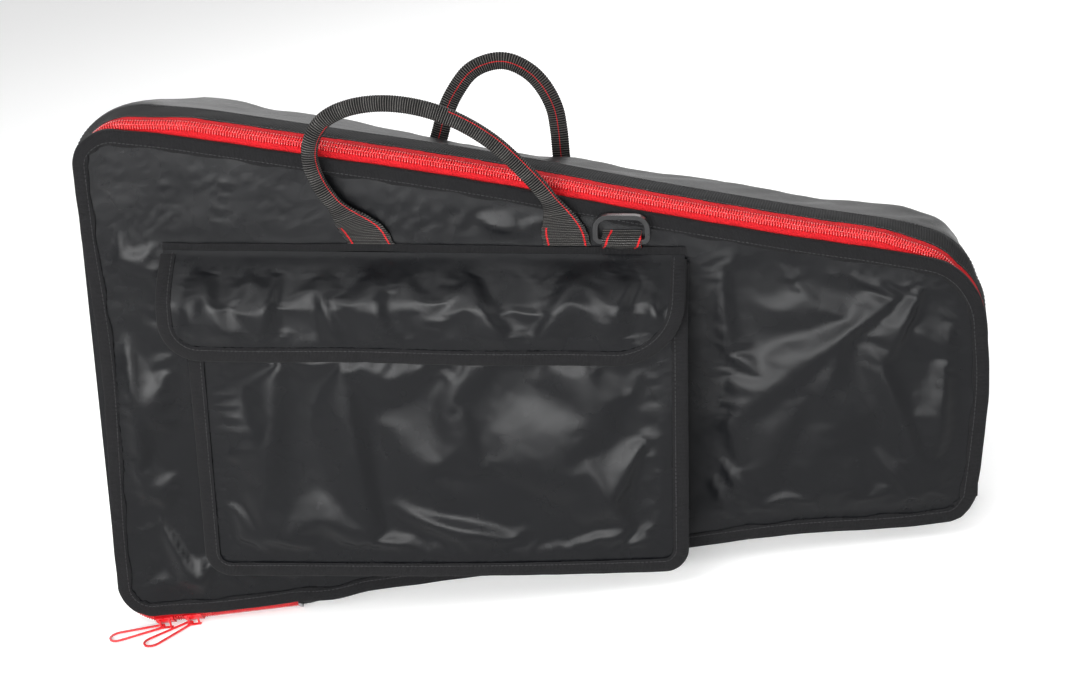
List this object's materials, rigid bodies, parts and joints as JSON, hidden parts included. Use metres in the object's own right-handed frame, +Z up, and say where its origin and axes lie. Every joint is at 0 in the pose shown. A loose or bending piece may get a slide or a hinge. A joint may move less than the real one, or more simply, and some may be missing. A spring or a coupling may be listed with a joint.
{
  "type": "percussion backpack",
  "caption": "Tapered soft case for a bell kit, with a zipped front panel, flapped pocket, webbing handles and padded shoulder straps, standing on its long side.",
  "frame": {"origin": "centre of the bounding box in plan, on the plane that the case stands on", "axes": "+X along the case from its wide end to its narrow end, +Z up, -Y out of the front panel and pocket"},
  "size_m": [0.8036, 0.1864, 0.4674],
  "materials": {
    "nylon": "coated nylon, sheen",
    "lining": "matte lining over foam",
    "binding": "matte ribbed tape",
    "webbing": "ribbed webbing",
    "zip_tape": "woven zip tape",
    "zip_coil": "satin coil",
    "red_enamel": "gloss enamel",
    "stop_metal": "brushed",
    "plastic": "satin moulded"
  },
  "bodies": {
    "bag": {"back_panel": "nylon", "back_foam": "lining", "gusset": "nylon", "back_binding": "binding", "zip_facing": "binding", "zip_tape_back": "zip_tape", "zip_coil_back": "zip_coil", "zip_parked_tape": "zip_tape", "zip_parked_coil": "zip_coil", "zip_stop": "stop_metal", "hinge_strip": "binding", "rear_webbing_left": "webbing", "rear_webbing_right": "webbing", "strap_anchor_patch": "binding", "shoulder_strap_upper": "nylon", "shoulder_strap_lower": "nylon", "strap_adjuster_upper": "plastic", "strap_adjuster_lower": "plastic", "lower_webbing_upper": "webbing", "lower_webbing_lower": "webbing", "strap_tab_upper": "binding", "strap_tab_lower": "binding"},
    "lid": {"front_panel": "nylon", "front_foam": "lining", "front_binding": "binding", "zip_tape_front": "zip_tape", "zip_coil_front": "zip_coil", "pocket_gusset": "nylon", "pocket_front": "nylon", "pocket_binding": "binding", "flap_seam_tape": "binding", "front_webbing_left": "webbing", "front_webbing_right": "webbing", "ring_tab": "webbing", "loop_tape_left": "webbing", "loop_tape_right": "webbing"},
    "flap": {"pocket_flap": "nylon", "flap_binding": "binding", "hook_tape_left": "webbing", "hook_tape_right": "webbing"},
    "front_handle": {"front_handle": "webbing"},
    "rear_handle": {"rear_handle": "webbing"},
    "slider_a": {"slider_a": "red_enamel"},
    "slider_b": {"slider_b": "red_enamel"},
    "pull_a": {"pull_a": "red_enamel"},
    "pull_b": {"pull_b": "red_enamel"},
    "ring": {"ring": "plastic"}
  },
  "joints": [
    {"name": "lid_open", "type": "hinge", "parent": "bag", "child": "lid", "pos_m": [0, -0.05719, 0.014], "axis": [1, 0, 0], "range_deg": [0, 80]},
    {"name": "flap_open", "type": "hinge", "parent": "lid", "child": "flap", "pos_m": [0.03019, -0.05799, 0.30261], "axis": [-0.9877, 0, 0.1562], "range_deg": [0, 62]},
    {"name": "front_handle_drop", "type": "hinge", "parent": "lid", "child": "front_handle", "pos_m": [0.0313, -0.05799, 0.30963], "axis": [-0.9877, 0, 0.1562], "range_deg": [-85, 0]},
    {"name": "rear_handle_drop", "type": "hinge", "parent": "bag", "child": "rear_handle", "pos_m": [0.0313, 0.05061, 0.30963], "axis": [0.9877, 0, -0.1562], "range_deg": [-90, 0]},
    {"name": "ring_turn", "type": "hinge", "parent": "lid", "child": "ring", "pos_m": [0.11027, -0.06212, 0.30322], "axis": [-0.9877, 0, 0.1562], "range_deg": [-115, 0]},
    {"name": "slider_a_run", "type": "slide", "parent": "bag", "child": "slider_a", "axis": [1, 0, 0], "range_m": [0, 0.006]},
    {"name": "slider_b_run", "type": "slide", "parent": "bag", "child": "slider_b", "axis": [1, 0, 0], "range_m": [0, 0.08]},
    {"name": "pull_a_turn", "type": "hinge", "parent": "slider_a", "child": "pull_a", "pos_m": [-0.35654, -0.05225, 0.002], "axis": [0, 0, 1], "range_deg": [-10, 20]},
    {"name": "pull_b_turn", "type": "hinge", "parent": "slider_b", "child": "pull_b", "pos_m": [-0.33054, -0.05225, 0.002], "axis": [0, 0, 1], "range_deg": [-15, 40]}
  ]
}
